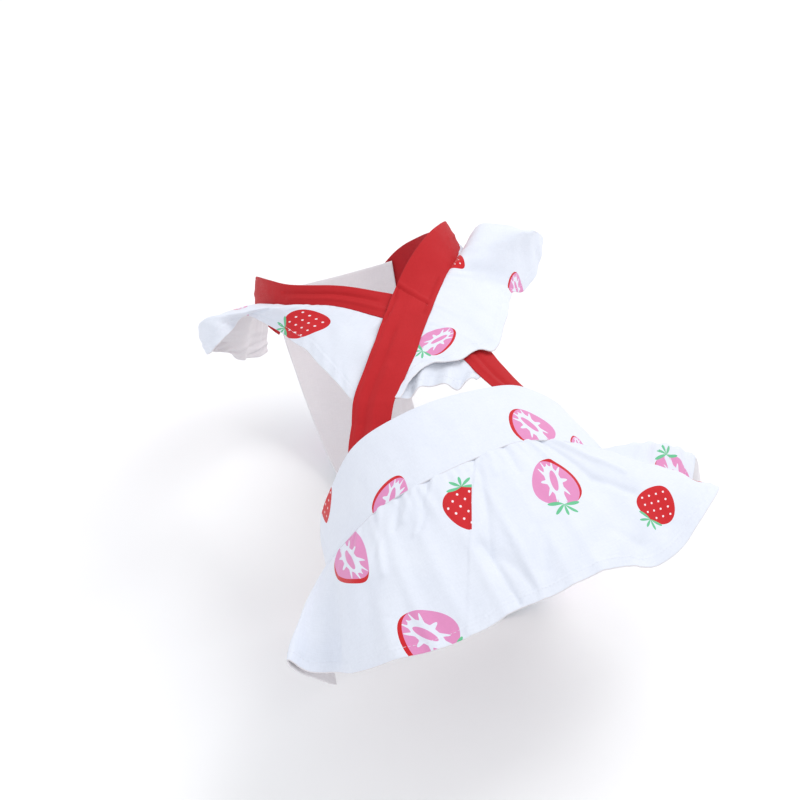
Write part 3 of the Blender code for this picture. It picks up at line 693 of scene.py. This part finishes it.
def cotton(name, light, dark, printed=False, thread=0.0006, rough=0.82, sheen=0.25, crumple=0.35):
    """Plain-woven cotton: matt, with a fine even weave, slight slubs and soft uneven creasing.

    Real threads lie about 0.3 mm apart, too fine for the picture, so they are drawn 0.6 mm apart."""
    material = bpy.data.materials.new(name)
    material.use_nodes = True
    t = material.node_tree
    shader = t.nodes["Principled BSDF"]
    uv = add(t, "UVMap", uv_map="cloth")
    place_of = add(t, "TexCoord", out="Object")
    blotch = add(t, "TexNoise", {"Vector": place_of, "Scale": 38.0, "Detail": 3.0}, out="Fac")
    tone = add(t, "Mix", {"Factor": blotch, 6: linear(light), 7: linear(dark)}, out=2,
               data_type="RGBA")
    slub = add(t, "TexNoise", {"Vector": add(t, "Mapping", {"Vector": uv, "Scale": (220.0, 1500.0, 1.0)}),
                               "Scale": 1.0, "Detail": 2.0}, out="Fac")
    slub_two = add(t, "TexNoise", {"Vector": add(t, "Mapping", {"Vector": uv,
                                                                "Scale": (1500.0, 220.0, 1.0)}),
                                   "Scale": 1.0, "Detail": 2.0}, out="Fac")
    threads = add(t, "SeparateXYZ", {0: add(t, "VectorMath", {0: uv, 1: (2 * np.pi / thread,) * 3},
                                            operation="MULTIPLY")}).node
    warp = add(t, "Math", {0: threads.outputs[0]}, operation="SINE")
    weft = add(t, "Math", {0: threads.outputs[1]}, operation="SINE")
    weave = add(t, "Math", {0: add(t, "Math", {0: warp, 1: weft}, operation="MULTIPLY"), 1: 0.5, 2: 0.5},
                operation="MULTIPLY_ADD")
    slubs = add(t, "Math", {0: slub, 1: slub_two}, operation="ADD")
    height = add(t, "Math", {0: slubs, 1: 0.9, 2: weave}, operation="MULTIPLY_ADD")
    crease = add(t, "TexNoise", {"Vector": place_of, "Scale": 55.0, "Detail": 4.0,
                                 "Roughness": 0.45, "Distortion": 0.6}, out="Fac")
    soft = add(t, "Bump", {"Strength": crumple, "Distance": 0.0022, "Height": crease})
    bump = add(t, "Bump", {"Strength": 0.30, "Distance": 0.00012, "Height": height, "Normal": soft})
    colour = fruit_colour(t, tone) if printed else tone
    shade = add(t, "MapRange", {"Value": slubs, 1: 0.7, 2: 1.3, 3: 0.955, 4: 1.0})
    colour = add(t, "Mix", {"Factor": 1.0, 6: colour,
                            7: add(t, "CombineColor", {0: shade, 1: shade, 2: shade})},
                 out=2, data_type="RGBA", blend_type="MULTIPLY")
    t.links.new(colour, shader.inputs["Base Color"])
    t.links.new(bump, shader.inputs["Normal"])
    shader.inputs["Roughness"].default_value = rough
    shader.inputs["IOR"].default_value = 1.46
    shader.inputs["Specular IOR Level"].default_value = 0.3
    shader.inputs["Sheen Weight"].default_value = sheen
    shader.inputs["Sheen Roughness"].default_value = 0.45
    return material


def thread_material(name, code):
    """Spun sewing thread: twisted fibres, a little shinier than the cloth it holds."""
    material = bpy.data.materials.new(name)
    material.use_nodes = True
    t = material.node_tree
    shader = t.nodes["Principled BSDF"]
    place_of = add(t, "TexCoord", out="Object")
    twist = add(t, "TexNoise", {"Vector": place_of, "Scale": 2600.0, "Detail": 1.0}, out="Fac")
    tone = add(t, "MapRange", {"Value": twist, 3: 0.85, 4: 1.0})
    colour = add(t, "Mix", {"Factor": 1.0, 6: linear(code),
                            7: add(t, "CombineColor", {0: tone, 1: tone, 2: tone})},
                 out=2, data_type="RGBA", blend_type="MULTIPLY")
    t.links.new(colour, shader.inputs["Base Color"])
    t.links.new(add(t, "Bump", {"Strength": 0.4, "Distance": 0.0001, "Height": twist}),
                shader.inputs["Normal"])
    shader.inputs["Roughness"].default_value = 0.6
    return material


white_face = cotton("printed_white_cotton", "#E7EBF3", "#E0E5F0", printed=True)
white_back = cotton("white_cotton_reverse", "#E9E6E8", "#E2DFE3")
red_face = cotton("red_cotton", "#C3242A", "#B61D22", rough=0.8, sheen=0.06, crumple=0.45)
red_back = cotton("red_cotton_reverse", "#B8222A", "#A91C22", rough=0.82, sheen=0.06, crumple=0.4)
white_thread = thread_material("white_thread", "#F2F4FB")
red_thread = thread_material("red_thread", "#B51F24")


# ---- Straps

def strap(name, node, rows, lift_rows, pleats, ridges, seed):
    """Pressed cotton tube along a centre line: flat, rounded at its edges, creased lengthwise.

    pleats: start share, end share, place across (-1 to 1), half width across, height.  ridges:
    rows as the skirt's creases."""
    s, ang, share, half = resample(rows, 331)
    across = np.sin(np.linspace(-np.pi / 2, np.pi / 2, 29))[None, :]
    lift = np.interp(share, *np.transpose(lift_rows))
    cols = [place(*sideways(s, ang, w * half), lift + STRAP_THICK / 2) for w in across[0]]
    mid = np.stack(cols, 1)
    normal = grid_normals(mid, False, 2)
    run = (share * run_of(form(s, ang))[-1])[:, None]
    bump = ripples(run * 1.0, across * half[:, None], seed, 9, 0.024, 0.00016)
    for line in ridges:
        bump = bump + creases(share[:, None], 0.5 + 0.5 * across, run[-1, 0], 2 * half[:, None], [line])
    for first, final, at, wide, high in pleats:
        there = step(share, first, first + 0.02) * (1 - step(share, final - 0.02, final))
        bump = bump + there[:, None] * high * np.exp(-((across - at) / wide) ** 2)
    outward = tangents(s, ang)[2]
    if (normal[:, 0] * outward).sum() < 0:
        normal = -normal
    mid = mid + bump[..., None] * normal
    edge = np.sqrt(np.clip(1 - np.abs(across) ** 6, 0.0, 1.0))
    seam = 0.00016 * np.exp(-((np.abs(across) - 0.83) / 0.035) ** 2)
    up = STRAP_THICK * 0.46 * (0.35 + 0.65 * edge) - seam
    down = STRAP_THICK * 0.46 * (0.35 + 0.65 * edge)
    piece, top, top_n = cloth(name, mid, up + 0 * bump, down + 0 * bump, [red_face, red_back],
                              outward=outward)
    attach(piece, "root")
    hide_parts(node)
    return piece, top, top_n


RIGHT_RIDGES = (
    (-0.0009, 0.0007, ((0.372, 0.15), (0.381, 0.50), (0.393, 1.00))),
    (0.0007, 0.0012, ((0.380, 0.15), (0.389, 0.50), (0.401, 1.00))),
    (-0.0009, 0.0008, ((0.388, 0.94), (0.345, 0.88), (0.300, 0.96))),
)
RIGHT_PLEATS = (
    (0.02, 0.30, 0.30, 0.12, -0.0011), (0.02, 0.22, -0.15, 0.14, 0.0009),
    (0.05, 0.36, 0.66, 0.10, 0.0008), (0.33, 0.46, -0.72, 0.07, -0.0010),
    (0.22, 0.44, 0.05, 0.18, 0.0006), (0.55, 0.95, 0.1, 0.14, 0.0006),
)
LEFT_PLEATS = (
    (0.02, 0.20, 0.05, 0.14, -0.0010), (0.02, 0.18, 0.5, 0.12, 0.0007),
    (0.38, 0.62, -0.25, 0.18, -0.0010), (0.36, 0.6, 0.3, 0.14, 0.0008),
    (0.65, 0.95, 0.0, 0.14, 0.0006),
)
left_strap, left_top, left_n = strap("left_shoulder_strap_cloth", "left_shoulder_strap", LEFT_STRAP,
                                     LEFT_STRAP_LIFT, LEFT_PLEATS, (), 5)
right_strap, right_top, right_n = strap("right_shoulder_strap_cloth", "right_shoulder_strap",
                                        RIGHT_STRAP, RIGHT_STRAP_LIFT, RIGHT_PLEATS,
                                        RIGHT_RIDGES, 8)


# ---- Sleeve ruffles

# The right ruffle stands up beside its strap: share of the way out, rise in metres
STAND_UP = ((0.0, 0.0145), (0.1, 0.0115), (0.25, 0.0065), (0.4, 0.0015), (0.55, -0.002), (1.0, -0.002))
STAND_WAY = np.array((0.256, 0.632, 0.731))
STAND_AT, STAND_WIDE = 0.620, 0.085

def ruffle(name, node, rows, strap_rows, side, start_lift, tuck_lift, seed, prints, stand, wave):
    """Ruffle from under a strap's edge out to its own hem, gathered at the strap."""
    rows = np.asarray(rows, float)
    s0, a0, share, half = resample(strap_rows, 400)
    edge_s, edge_a = sideways(s0, a0, side * half)
    tuck_s, tuck_a = sideways(s0, a0, side * (half - 0.005))
    fine = np.linspace(rows[0, 0], rows[-1, 0], 900)
    hem = place(column(rows, 1, fine) * BACK_LENGTH, column(rows, 2, fine),
                column(rows, 3, fine) * BACK_LENGTH)
    top = form(np.interp(fine, share, edge_s), np.interp(fine, share, edge_a))
    even = run_of(hem) / run_of(hem)[-1] + run_of(top) / run_of(top)[-1]
    t = np.interp(np.linspace(0, 2, 441), even, fine)
    s_in = np.interp(t, share, edge_s)[:, None]
    a_in = np.interp(t, share, edge_a)[:, None]
    s_out = (column(rows, 1, t) * BACK_LENGTH)[:, None]
    a_out = column(rows, 2, t)[:, None]
    l_out = np.maximum(column(rows, 3, t) * BACK_LENGTH, start_lift)[:, None]
    puff = np.maximum(column(rows, 4, t) * BACK_LENGTH, 0.0)[:, None]
    v = np.concatenate([np.linspace(0, 0.85, 46)[:-1], np.linspace(0.85, 1.0, 16)])[None, :]
    s = s_in * (1 - v) + s_out * v
    a = a_in * (1 - v) + a_out * v
    lift = start_lift * (1 - v) + l_out * v + puff * 2.9 * v ** 0.6 * (1 - v)
    body = place(s, a, lift)
    s_under = np.interp(t, share, tuck_s)[:, None]
    a_under = np.interp(t, share, tuck_a)[:, None]
    w = np.linspace(0, 1, 5)[None, :-1]
    under = place(s_under * (1 - w) + s_in * w, a_under * (1 - w) + a_in * w,
                  tuck_lift + (start_lift - tuck_lift) * w ** 2 + 0 * s_in)
    mid = np.concatenate([under, body], 1)
    normal = grid_normals(mid, False, 3)
    outward = tangents(s_under[:, 0], a_under[:, 0])[2]
    if (normal[:, 0] * outward).sum() < 0:
        normal = -normal
    across = run_of(np.swapaxes(body, 0, 1)).T
    along = run_of(form(s_in[:, 0], a_in[:, 0]))[:, None]
    wide_run = run_of(body[:, -1])[:, None] * v + along * (1 - v)
    g = gathers(along + 0 * across, across, seed, along[-1, 0], 0.0052, 0.0011, 0.022, 0.020)
    g = g - g.mean(0, keepdims=True) * 0.6
    g = g + ripples(wide_run, across, seed + 1, 8, 0.030, 0.0005) * step(across, 0.0, 0.02)
    left = across[:, -1:] - across
    g = g + ripples(wide_run, 0 * across, seed + 2, 6, 0.011, 0.0004) * (1 - step(left, 0.002, 0.014))
    mid[:, 4:] += g[..., None] * normal[:, 4:]
    end = 1 - step(t[:, None], t[0] + 0.13, t[0] + 0.20)
    mid[:, 4:] += (wave * end * step(v, 0.1, 0.9)
                   * np.sin(2 * np.pi * wide_run / 0.017))[..., None] * normal[:, 4:]
    near = np.exp(-((t[:, None] - STAND_AT) / STAND_WIDE) ** 2) * (1 - np.exp(-v / 0.025))
    mid[:, 4:] += (stand * near * np.interp(v, *np.transpose(STAND_UP)))[..., None] * STAND_WAY
    left = np.concatenate([np.full((len(t), 4), 1.0), left], 1)
    fold = 1 - step(left, HEM_DEPTH - 0.0004, HEM_DEPTH + 0.0004)
    pull = 0.00022 * np.exp(-((left - HEM_DEPTH) / 0.0007) ** 2)
    up = COTTON / 2 + 0.00022 * fold - pull
    down = COTTON / 2 + 0.0003 * fold
    piece, top, top_n = cloth(name, mid, up, down, [white_face, white_back], prints=prints,
                              outward=outward)
    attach(piece, "root")
    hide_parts(node)
    row = stitches(name.replace("cloth", "hem_stitches"), *hem_line(top, top_n, HEM_DEPTH - 0.001),
                   0.0026, white_thread)
    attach(row, "root")
    return piece, row


left_sleeve, left_hem = ruffle("left_sleeve_cloth", "left_sleeve_ruffle", LEFT_RUFFLE, LEFT_STRAP,
                               1.0, UNDER_LIFT + 0.0004, 0.0003, 21, PRINTS["left_sleeve_ruffle"],
                               0.0, 0.0022)
right_sleeve, right_hem = ruffle("right_sleeve_cloth", "right_sleeve_ruffle", RIGHT_RUFFLE,
                                 RIGHT_STRAP, -1.0, OVER_LIFT + 0.0006, OVER_LIFT - 0.0004, 34,
                                 PRINTS["right_sleeve_ruffle"], 1.0, 0.0)


# ---- Waistband

turn = np.linspace(-180.0, 180.0, 521)[:-1]
front = column(WAISTBAND, 1, turn)[:, None] * BACK_LENGTH
rear = column(WAISTBAND, 2, turn)[:, None] * BACK_LENGTH
w = (0.5 - 0.5 * np.cos(np.linspace(0, np.pi, 41)))[None, :]
band_s = front * (1 - w) + rear * w
band_a = turn[:, None] + 0 * w
crown = 0.0006 * np.sin(np.pi * w)
band_mid = place(band_s, band_a, BAND_LIFT + BAND_THICK / 2 + crown + 0 * band_s)
band_out = tangents(band_s[:, 0], turn)[2]
band_n = grid_normals(band_mid, True, 2)
if (band_n[:, 0] * band_out).sum() < 0:
    band_n = -band_n
band_x = np.radians(turn)[:, None] * 0.0860
band_y = (front - rear) * w
soft = sum(np.sin(k * np.radians(turn)[:, None] + p + q * w) for k, p, q in
           ((9, 0.4, 2.2), (14, 1.9, -1.7), (23, 3.1, 2.9), (37, 0.7, -2.4)))
band_mid = band_mid + (0.00012 * soft * np.sin(np.pi * w))[..., None] * band_n
from_rear = (front - rear) * (1 - w)
from_front = (front - rear) * w
pull = 0.00025 * np.exp(-((from_rear - 0.0016) / 0.0006) ** 2)
pull = pull + 0.00012 * np.exp(-((from_front - 0.0022) / 0.0006) ** 2)
band_edge = 0.55 + 0.45 * np.sqrt(np.clip(1 - np.abs(2 * w - 1) ** 16, 0, 1))
band, band_top, band_top_n = cloth(
    "waistband_cloth", band_mid, BAND_THICK / 2 * band_edge - pull, BAND_THICK / 2 * band_edge + 0 * pull,
    [white_face, white_back], ring=True, prints=PRINTS["waistband"], outward=band_out)
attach(band, "root")
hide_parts("waistband")


# ---- Skirt

hem_rows = np.asarray(SKIRT_HEM, float)
fine = np.linspace(hem_rows[0, 0], hem_rows[-1, 0], 1200)
hem_points = place(column(SKIRT_HEM, 1, fine) * BACK_LENGTH, column(SKIRT_HEM, 2, fine),
                   column(SKIRT_HEM, 3, fine) * BACK_LENGTH)
seam_points = form(column(WAISTBAND, 2, fine) * BACK_LENGTH, fine)
even = (run_of(hem_points) / run_of(hem_points)[-1] * 1.1
        + run_of(seam_points) / run_of(seam_points)[-1] * 0.9)
seam = np.interp(np.linspace(0, 2, 461), even, fine)[:, None]
seam_s = column(WAISTBAND, 2, seam) * BACK_LENGTH
hem_s = column(SKIRT_HEM, 1, seam) * BACK_LENGTH
hem_a = column(SKIRT_HEM, 2, seam)
hem_lift = column(SKIRT_HEM, 3, seam) * BACK_LENGTH
down = np.concatenate([np.linspace(0, 0.06, 9)[:-1], np.linspace(0.06, 0.9, 72)[:-1],
                       np.linspace(0.9, 1.0, 18)])[None, :]
skirt_s = seam_s * (1 - down) + hem_s * down
skirt_a = seam * (1 - down) + hem_a * down
swell = down * (1 + column(SKIRT_HEM, 4, seam) * (1 - down))
seam_lift = BAND_LIFT + BAND_THICK * 0.45
skirt_lift = seam_lift * (1 - down) + hem_lift * swell
for at, wide, high in SKIRT_FOLDS:
    skirt_lift = skirt_lift + (np.exp(-((seam - at) / wide) ** 2) * high * BACK_LENGTH
                               * FOLD_SHARE * down ** 0.8)
skirt_body = place(skirt_s, skirt_a, skirt_lift)
tuck = np.linspace(0.0045, 0.0, 5)[None, :-1]
skirt_tuck = place(seam_s + tuck, seam + 0 * tuck, seam_lift + 0 * tuck + 0 * seam)
skirt_mid = np.concatenate([skirt_tuck, skirt_body], 1)
skirt_n = grid_normals(skirt_mid, False, 4)
skirt_out = tangents(seam_s[:, 0] + 0.0045, seam[:, 0])[2]
if (skirt_n[:, 0] * skirt_out).sum() < 0:
    skirt_n = -skirt_n
skirt_y = run_of(np.swapaxes(skirt_body, 0, 1)).T
skirt_x = run_of(form(seam_s[:, 0], seam[:, 0]))[:, None]
skirt_wide = run_of(skirt_body[:, -1])[:, None] * down + skirt_x * (1 - down)
g = gathers(skirt_x + 0 * skirt_y, skirt_y, 11, skirt_x[-1, 0], 0.0046, 0.0015, 0.032, 0.028)
g = g - g.mean(0, keepdims=True) * 0.7
g = g + ripples(skirt_wide, skirt_y, 12, 8, 0.040, 0.0006) * step(skirt_y, 0.0, 0.03)
skirt_left = skirt_y[:, -1:] - skirt_y
g = g + ripples(skirt_wide, 0 * skirt_y, 13, 6, 0.0045, 0.00014) * (1 - step(skirt_left, 0.005, 0.014))
share = np.linspace(0.0, 1.0, len(seam))[:, None]
skirt_round = skirt_wide[-1:] + 0 * skirt_wide
g = g + CREASE_DEPTH * creases(share, down, skirt_round, skirt_y[:, -1:], SKIRT_CREASES)
lap = (share - np.interp(down, *np.transpose(SKIRT_TUCK)[::-1])) * skirt_round
g = g + 0.0011 * step(lap, -0.0004, 0.0006) * np.exp(-np.maximum(lap, 0.0) / 0.008) * (1 - 0.75 * down)
skirt_mid[:, 4:] += g[..., None] * skirt_n[:, 4:]
skirt_left = np.concatenate([np.full((len(seam), 4), 1.0), skirt_left], 1)
fold = 1 - step(skirt_left, HEM_DEPTH - 0.0004, HEM_DEPTH + 0.0004)
pull = 0.00014 * np.exp(-((skirt_left - HEM_DEPTH) / 0.0007) ** 2)
skirt, skirt_top, skirt_top_n = cloth(
    "skirt_cloth", skirt_mid, COTTON / 2 + 0.00022 * fold - pull, COTTON / 2 + 0.0003 * fold,
    [white_face, white_back], prints=PRINTS["skirt"], outward=skirt_out)
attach(skirt, "root")
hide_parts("skirt")
skirt_hem = stitches("skirt_hem_stitches", *hem_line(skirt_top, skirt_top_n, HEM_DEPTH - 0.001),
                     0.0026, white_thread)
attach(skirt_hem, "root")


# ---- Chest panel

panel_rows = np.asarray(CHEST_PANEL, float)
rows_s = np.linspace(panel_rows[0, 0], panel_rows[-1, 0], 181)[:, None]
half = column(CHEST_PANEL, 1, rows_s)
cols = np.sin(np.linspace(-np.pi / 2, np.pi / 2, 61))[None, :]
panel_s = rows_s * BACK_LENGTH + 0 * cols
panel_a = 180.0 + half * cols
panel_mid = place(panel_s, panel_a, UNDER_LIFT + 0.00075 + 0 * panel_s)
panel_n = grid_normals(panel_mid, False, 2)
panel_out = tangents(panel_s[:, 0], panel_a[:, 0])[2]
if (panel_n[:, 0] * panel_out).sum() < 0:
    panel_n = -panel_n
panel_across = run_of(np.swapaxes(panel_mid, 0, 1)).T
g = ripples(panel_s, panel_across, 41, 8, 0.034, 0.00025)
panel_mid = panel_mid + g[..., None] * panel_n
side = np.minimum(panel_across, panel_across[:, -1:] - panel_across)
fold = 1 - step(side, HEM_DEPTH - 0.0004, HEM_DEPTH + 0.0004)
pull = 0.0002 * np.exp(-((side - HEM_DEPTH) / 0.0007) ** 2)
panel, panel_top, panel_top_n = cloth(
    "chest_panel_cloth", panel_mid, 0.00035 + 0.00022 * fold - pull, 0.00035 + 0.00022 * fold,
    [white_face, white_back], prints=PRINTS["chest_panel"], outward=panel_out)
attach(panel, "root")
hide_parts("chest_panel")

# ---- Floor, light and camera

floor_mesh = bpy.data.meshes.new("floor")
far = 4.0
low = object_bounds()[0].z - 0.0005
floor_mesh.from_pydata([(-far, -far, low), (far, -far, low), (far, far, low), (-far, far, low)],
                       [], [(0, 1, 2, 3)])
floor = bpy.data.objects.new("floor", floor_mesh)
bpy.context.scene.collection.objects.link(floor)
floor_paint = bpy.data.materials.new("pale_floor_paint")
floor_paint.use_nodes = True
floor_shader = floor_paint.node_tree.nodes["Principled BSDF"]
floor_shader.inputs["Base Color"].default_value = linear("#FAFAFA")
floor_shader.inputs["Roughness"].default_value = 0.9
floor_mesh.materials.append(floor_paint)

world = bpy.data.worlds.new("studio")
world.use_nodes = True
world.node_tree.nodes["Background"].inputs[0].default_value = linear("#FBFCFF")
world.node_tree.nodes["Background"].inputs[1].default_value = 0.88
bpy.context.scene.world = world


def lamp(name, at, size, power, code):
    """Square soft light at a place, turned to the dress."""
    data = bpy.data.lights.new(name, "AREA")
    data.size = size
    data.energy = power
    data.color = linear(code)[:3]
    light = bpy.data.objects.new(name, data)
    light.location = at
    light.rotation_mode = "QUATERNION"
    light.rotation_quaternion = (Vector((0, -0.04, -0.08)) - Vector(at)).to_track_quat("-Z", "Y")
    bpy.context.scene.collection.objects.link(light)


lamp("key_light", (0.9, 0.2, 1.3), 0.8, 10.0, "#FFFFFF")
lamp("fill_light", (-1.3, -0.6, 0.9), 1.4, 3.0, "#F8FAFF")

camera_data = bpy.data.cameras.new("camera")
camera_data.lens = 90.0
camera_data.sensor_width = 36.0
camera_data.dof.use_dof = False
camera = bpy.data.objects.new("camera", camera_data)
camera.location = (-0.3462, -0.8442, 0.7811)
camera.rotation_mode = "QUATERNION"
camera.rotation_quaternion = Vector((0.27397, 0.67810, -0.68200)).to_track_quat("-Z", "Y")
bpy.context.scene.collection.objects.link(camera)
bpy.context.scene.camera = camera
bpy.context.scene.view_settings.view_transform = "Standard"
